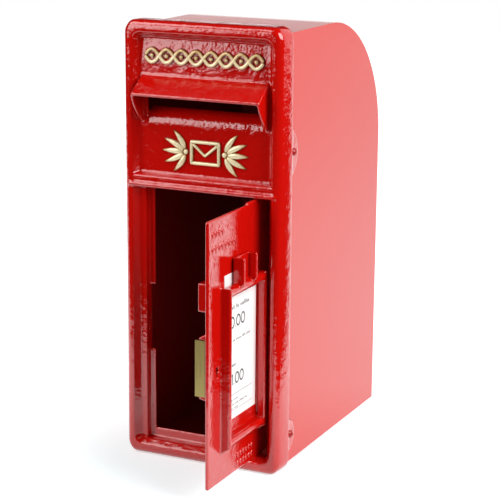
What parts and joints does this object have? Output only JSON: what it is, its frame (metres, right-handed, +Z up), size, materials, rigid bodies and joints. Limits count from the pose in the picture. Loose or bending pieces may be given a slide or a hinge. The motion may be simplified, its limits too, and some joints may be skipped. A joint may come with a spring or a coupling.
{
  "type": "wall letter box",
  "caption": "Cast-front wall letter box with a hooded posting slot, a side-hung door with a notice frame and a brass lock, and a folded steel body.",
  "frame": {"origin": "middle of the front casting's base face, halfway through the casting's depth", "axes": "+X to the right seen from the front, +Y to the rear, away from the posting slot, +Z up"},
  "size_m": [0.2292, 0.4667, 0.57],
  "materials": {
    "cast_paint": "cast iron under thick gloss red enamel, slightly uneven",
    "sheet_paint": "smooth gloss red enamel on sheet steel",
    "screw_paint": "gloss red enamel over a steel screw head",
    "lock_brass": "bare brass, finely brushed",
    "plain_steel": "bare turned steel",
    "card": "matte white card"
  },
  "bodies": {
    "box": {"front_casting": "cast_paint", "hinge_pin_top": "plain_steel", "hinge_pin_bottom": "plain_steel", "left_side_panel": "sheet_paint", "right_side_panel": "sheet_paint", "back_sheet": "sheet_paint", "base_panel": "sheet_paint", "side_screws": "screw_paint", "side_nuts": "plain_steel"},
    "door": {"door": "cast_paint", "notice_card": "card", "lock_case": "lock_brass", "lock_cap": "lock_brass", "drill_pin": "plain_steel", "cap_screws": "lock_brass", "lock_screws": "plain_steel"},
    "bolt": {"lock_bolt": "lock_brass", "bolt_spring": "plain_steel"}
  },
  "joints": [
    {"name": "door_hinge", "type": "hinge", "parent": "box", "child": "door", "pos_m": [0.0695, 0.007, 0.19], "axis": [0, 0, 1], "range_deg": [-90, 3]},
    {"name": "bolt_slide", "type": "slide", "parent": "door", "child": "bolt", "axis": [0, -1, 0], "range_m": [0, 0.011]}
  ]
}
